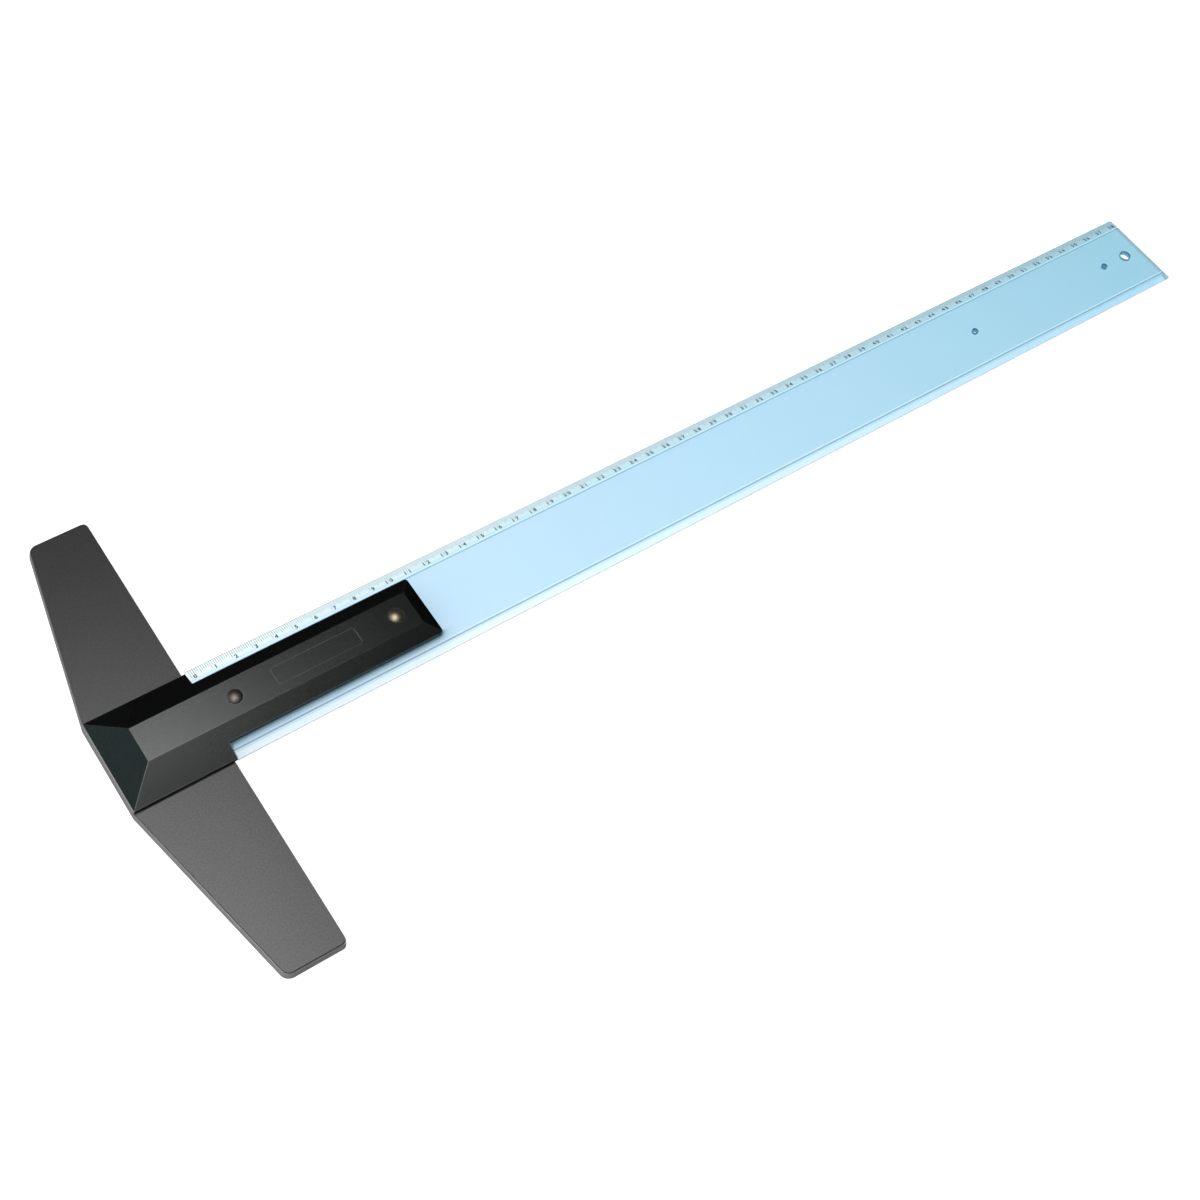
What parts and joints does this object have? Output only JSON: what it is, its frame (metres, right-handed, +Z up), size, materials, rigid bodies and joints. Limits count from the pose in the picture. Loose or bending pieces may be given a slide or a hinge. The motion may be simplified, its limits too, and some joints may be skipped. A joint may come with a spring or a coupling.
{
  "type": "t square",
  "caption": "Drawing-board T square: clear bevelled blade with a centimetre edge, fixed square to a dark tapered head with a long hip-roofed handle.",
  "frame": {"origin": "where the plane of the head's guide edge, the head's centre line and the blade's underside meet", "axes": "+X along the blade away from the head, +Y towards the graduated edge, +Z up from the drawing board"},
  "size_m": [0.6356, 0.239, 0.0145],
  "materials": {
    "head_plastic": "satin moulded grey-black plastic",
    "panel_plastic": "fine-textured dark grey plastic",
    "handle_plastic": "fine-textured near-black plastic",
    "blade_acrylic": "polished clear pale-blue acrylic",
    "rivet_metal": "dulled brass-coloured dome",
    "washer_metal": "plain plated steel",
    "screw_steel": "zinc-plated steel"
  },
  "bodies": {
    "root": {"head_base": "head_plastic", "graduated_side_wing_panel": "panel_plastic", "plain_side_wing_panel": "panel_plastic", "handle_cover": "handle_plastic", "blade": "blade_acrylic", "inner_rivet": "rivet_metal", "outer_rivet": "rivet_metal", "inner_rivet_washer": "washer_metal", "outer_rivet_washer": "washer_metal", "head_screws": "screw_steel"}
  },
  "joints": []
}
